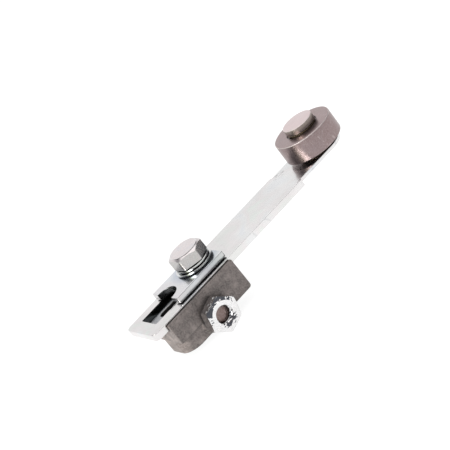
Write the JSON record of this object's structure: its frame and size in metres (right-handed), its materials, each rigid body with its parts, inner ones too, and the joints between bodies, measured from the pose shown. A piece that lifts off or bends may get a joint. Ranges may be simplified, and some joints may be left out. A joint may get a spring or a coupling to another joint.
{
  "type": "sliding door roller",
  "caption": "Adjustable guide roller for a sliding door: a slotted flat arm clamped on a cast block by a bolted plate, with a riveted steel roller at its end.",
  "frame": {"origin": "on the side stud's axis, at the block's front face where the door's bracket is held", "axes": "+X along the arm towards the roller, +Z out of the arm's top face (the roller's axis), -Y out of the block's front face towards the side nut"},
  "size_m": [0.1152, 0.0331, 0.0318],
  "materials": {
    "arm_zinc": "bright zinc plate",
    "plate_zinc": "bright zinc plate",
    "bolt_zinc": "zinc plate",
    "washer_zinc": "zinc plate",
    "nut_zinc": "bright plate",
    "stud_steel": "plain dull",
    "block_cast": "as cast, phosphated",
    "roller_steel": "turned, oiled",
    "pin_steel": "turned, oiled",
    "bearing_steel": "ground",
    "cage_bronze": "plain",
    "thrust_bronze": "oiled"
  },
  "bodies": {
    "clamp": {"cast_block": "block_cast", "clamp_plate": "plate_zinc", "clamp_bolt": "bolt_zinc", "flat_washer": "washer_zinc", "spring_washer": "washer_zinc", "side_nut": "nut_zinc", "side_stud": "stud_steel"},
    "arm": {"arm_bar": "arm_zinc", "roller_pin": "pin_steel", "lower_thrust_washer": "thrust_bronze", "upper_thrust_washer": "thrust_bronze"},
    "roller": {"roller": "roller_steel", "needle_cup": "bearing_steel"},
    "bearing": {"needle_cage": "cage_bronze", "needle_01": "bearing_steel", "needle_02": "bearing_steel", "needle_03": "bearing_steel", "needle_04": "bearing_steel", "needle_05": "bearing_steel", "needle_06": "bearing_steel", "needle_07": "bearing_steel", "needle_08": "bearing_steel", "needle_09": "bearing_steel", "needle_10": "bearing_steel"}
  },
  "joints": [
    {"name": "arm_slide", "type": "slide", "parent": "clamp", "child": "arm", "axis": [1, 0, 0], "range_m": [-0.0005, 0.0215]},
    {"name": "roller_spin", "type": "hinge", "parent": "arm", "child": "roller", "pos_m": [0.0793, 0.01325, 0.0168], "axis": [0, 0, 1], "continuous": true},
    {"name": "bearing_spin", "type": "hinge", "parent": "arm", "child": "bearing", "pos_m": [0.0793, 0.01325, 0.0168], "axis": [0, 0, 1], "continuous": true}
  ],
  "couplings": [
    {"joint": "bearing_spin", "follows": "roller_spin", "ratio": 0.58}
  ]
}
